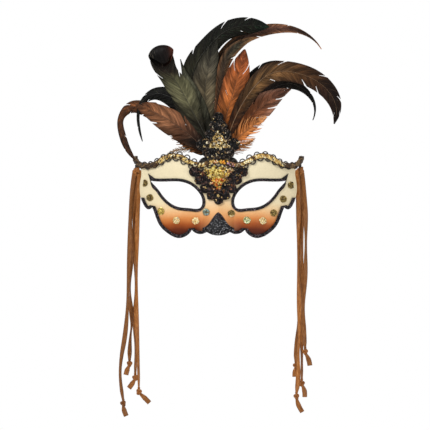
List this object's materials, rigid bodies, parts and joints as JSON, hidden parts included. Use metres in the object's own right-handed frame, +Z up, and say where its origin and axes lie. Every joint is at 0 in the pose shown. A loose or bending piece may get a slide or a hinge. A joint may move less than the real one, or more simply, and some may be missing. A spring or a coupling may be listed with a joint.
{
  "type": "masquerade mask",
  "caption": "Venetian half mask with painted shell, glitter trim, gimp braid, sequin crest, feather plume and hanging satin ribbon ties.",
  "frame": {"origin": "inner face of the shell at the bridge of the nose, where the mask rests on the wearer", "axes": "+Z up, +X to the right seen from the front, -Y out of the mask's front, +Y towards the wearer"},
  "size_m": [0.2352, 0.0708, 0.4176],
  "materials": {
    "shell": "painted papier-mache, cream above and copper below",
    "black_glitter": "black glitter paint",
    "gold_glitter": "gold glitter",
    "gold_braid": "metallic gold gimp",
    "black_cord": "thin black cord",
    "backing_cloth": "black woven backing",
    "black_sequins": "black sequins and beads",
    "gold_sequins": "gold sequins",
    "green_feather": "iridescent green-black feather",
    "brown_feather": "brown feather",
    "copper_feather": "copper-orange feather",
    "black_feather": "black feather",
    "glue": "hardened glue",
    "felt": "black felt",
    "ribbon": "brown satin"
  },
  "bodies": {
    "mask": {"black_arc_feather": "black_feather", "black_left_feather": "black_feather", "braid_band": "gold_braid", "braid_loops_lower": "black_cord", "braid_loops_upper": "black_cord", "brow_backing": "backing_cloth", "brow_sequins_black": "black_sequins", "brow_sequins_gold": "gold_sequins", "brown_left_feather": "brown_feather", "copper_center_feather": "copper_feather", "crest_backing": "backing_cloth", "crest_sequins_black": "black_sequins", "crest_sequins_gold": "gold_sequins", "curled_head_feather": "green_feather", "dark_inner_feather": "brown_feather", "dark_left_feather": "green_feather", "down_low_right_feather": "copper_feather", "down_right_feather": "copper_feather", "eye_rim_left": "black_glitter", "eye_rim_right": "black_glitter", "felt_cover": "felt", "glitter_dots_left": "gold_glitter", "glitter_dots_right": "gold_glitter", "great_arc_feather": "brown_feather", "green_broad_feather": "green_feather", "green_spike_feather": "green_feather", "hooked_black_feather": "black_feather", "long_tip_feather": "brown_feather", "loop_feather": "brown_feather", "lower_edge_bead": "black_glitter", "mask_shell": "shell", "mauve_center_feather": "copper_feather", "mauve_right_feather": "copper_feather", "nose_patch": "black_glitter", "orange_left_feather": "copper_feather", "quill_block": "glue", "small_left_feather": "brown_feather", "tall_coque_feather": "green_feather", "tie_eye_left": "ribbon", "tie_eye_right": "ribbon"},
    "left_ribbons": {"ribbon_knot_left_a": "ribbon", "ribbon_knot_left_b": "ribbon", "ribbon_knot_left_c": "ribbon", "ribbon_knot_left_d": "ribbon", "ribbon_tail_left_a": "ribbon", "ribbon_tail_left_b": "ribbon", "ribbon_tail_left_c": "ribbon", "ribbon_tail_left_d": "ribbon", "tie_fold_left": "ribbon"},
    "right_ribbons": {"ribbon_knot_right_a": "ribbon", "ribbon_knot_right_b": "ribbon", "ribbon_knot_right_c": "ribbon", "ribbon_knot_right_d": "ribbon", "ribbon_tail_right_a": "ribbon", "ribbon_tail_right_b": "ribbon", "ribbon_tail_right_c": "ribbon", "ribbon_tail_right_d": "ribbon", "tie_fold_right": "ribbon"}
  },
  "joints": [
    {"name": "left_ribbons_swing", "type": "hinge", "parent": "mask", "child": "left_ribbons", "pos_m": [-0.086, 0.041, 0.0315], "axis": [1, 0, 0], "range_deg": [-4, 95]},
    {"name": "right_ribbons_swing", "type": "hinge", "parent": "mask", "child": "right_ribbons", "pos_m": [0.086, 0.041, 0.0315], "axis": [1, 0, 0], "range_deg": [-4, 95]}
  ]
}
